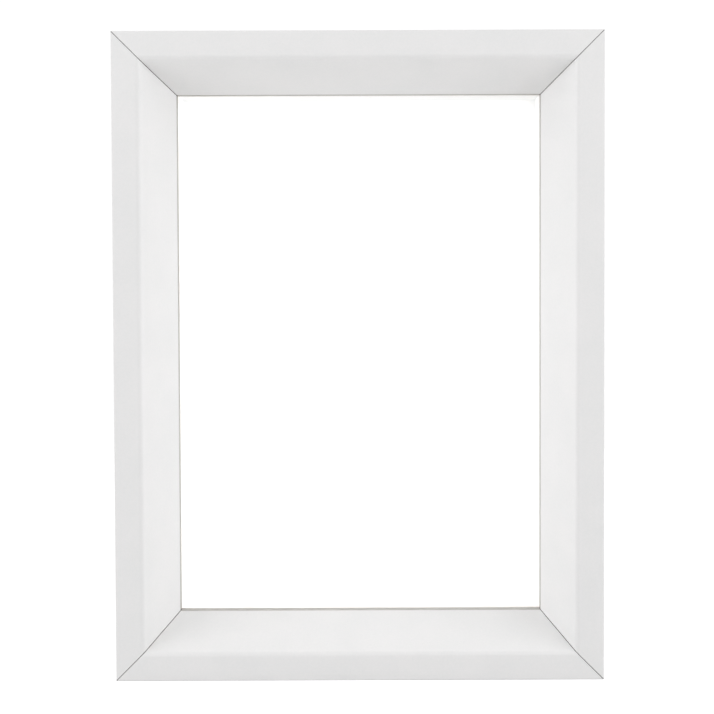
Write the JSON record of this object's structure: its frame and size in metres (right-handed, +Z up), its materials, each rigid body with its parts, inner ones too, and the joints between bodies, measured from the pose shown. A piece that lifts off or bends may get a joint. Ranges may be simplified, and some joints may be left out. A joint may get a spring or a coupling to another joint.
{
  "type": "shadow box",
  "caption": "Rear-loading white box frame for an A4 display: mitred rails with a deep inner bevel, glass, spacer box and turn-button back.",
  "frame": {"origin": "middle of the bottom face, halfway between the front and the back of the rails", "axes": "+Z up, +X to the right of a viewer in front, +Y from the front to the back"},
  "size_m": [0.267, 0.062, 0.354],
  "materials": {
    "white_foil": "satin white foil on wood fibre board",
    "clear_glass": "clear float glass",
    "white_board": "matt white",
    "hardboard": "smooth brown hardboard",
    "zinc_steel": "bright zinc plate",
    "nail_steel": "plain steel",
    "grey_rubber": "matt"
  },
  "bodies": {
    "frame": {"bottom_rail": "white_foil", "right_rail": "white_foil", "top_rail": "white_foil", "left_rail": "white_foil", "corner_nails": "nail_steel", "glass_pane": "clear_glass", "spacer_bottom": "white_board", "spacer_right": "white_board", "spacer_top": "white_board", "spacer_left": "white_board", "display_board": "white_board", "back_panel": "hardboard", "turn_button_screws": "zinc_steel", "portrait_hanger": "zinc_steel", "landscape_hanger": "zinc_steel", "hanger_nails": "zinc_steel", "wall_bumpers": "grey_rubber"},
    "turn_button_bottom_left": {"turn_button_bottom_left": "zinc_steel"},
    "turn_button_bottom_right": {"turn_button_bottom_right": "zinc_steel"},
    "turn_button_right_lower": {"turn_button_right_lower": "zinc_steel"},
    "turn_button_right_upper": {"turn_button_right_upper": "zinc_steel"},
    "turn_button_top_right": {"turn_button_top_right": "zinc_steel"},
    "turn_button_top_left": {"turn_button_top_left": "zinc_steel"},
    "turn_button_left_upper": {"turn_button_left_upper": "zinc_steel"},
    "turn_button_left_lower": {"turn_button_left_lower": "zinc_steel"}
  },
  "joints": [
    {"name": "turn_button_bottom_left_swivel", "type": "hinge", "parent": "frame", "child": "turn_button_bottom_left", "pos_m": [-0.062, 0.0293, 0.02], "axis": [0, 1, 0], "continuous": true},
    {"name": "turn_button_bottom_right_swivel", "type": "hinge", "parent": "frame", "child": "turn_button_bottom_right", "pos_m": [0.062, 0.0293, 0.02], "axis": [0, 1, 0], "continuous": true},
    {"name": "turn_button_right_lower_swivel", "type": "hinge", "parent": "frame", "child": "turn_button_right_lower", "pos_m": [0.1135, 0.0293, 0.089], "axis": [0, 1, 0], "continuous": true},
    {"name": "turn_button_right_upper_swivel", "type": "hinge", "parent": "frame", "child": "turn_button_right_upper", "pos_m": [0.1135, 0.0293, 0.265], "axis": [0, 1, 0], "continuous": true},
    {"name": "turn_button_top_right_swivel", "type": "hinge", "parent": "frame", "child": "turn_button_top_right", "pos_m": [0.062, 0.0293, 0.334], "axis": [0, 1, 0], "continuous": true},
    {"name": "turn_button_top_left_swivel", "type": "hinge", "parent": "frame", "child": "turn_button_top_left", "pos_m": [-0.062, 0.0293, 0.334], "axis": [0, 1, 0], "continuous": true},
    {"name": "turn_button_left_upper_swivel", "type": "hinge", "parent": "frame", "child": "turn_button_left_upper", "pos_m": [-0.1135, 0.0293, 0.265], "axis": [0, 1, 0], "continuous": true},
    {"name": "turn_button_left_lower_swivel", "type": "hinge", "parent": "frame", "child": "turn_button_left_lower", "pos_m": [-0.1135, 0.0293, 0.089], "axis": [0, 1, 0], "continuous": true}
  ]
}
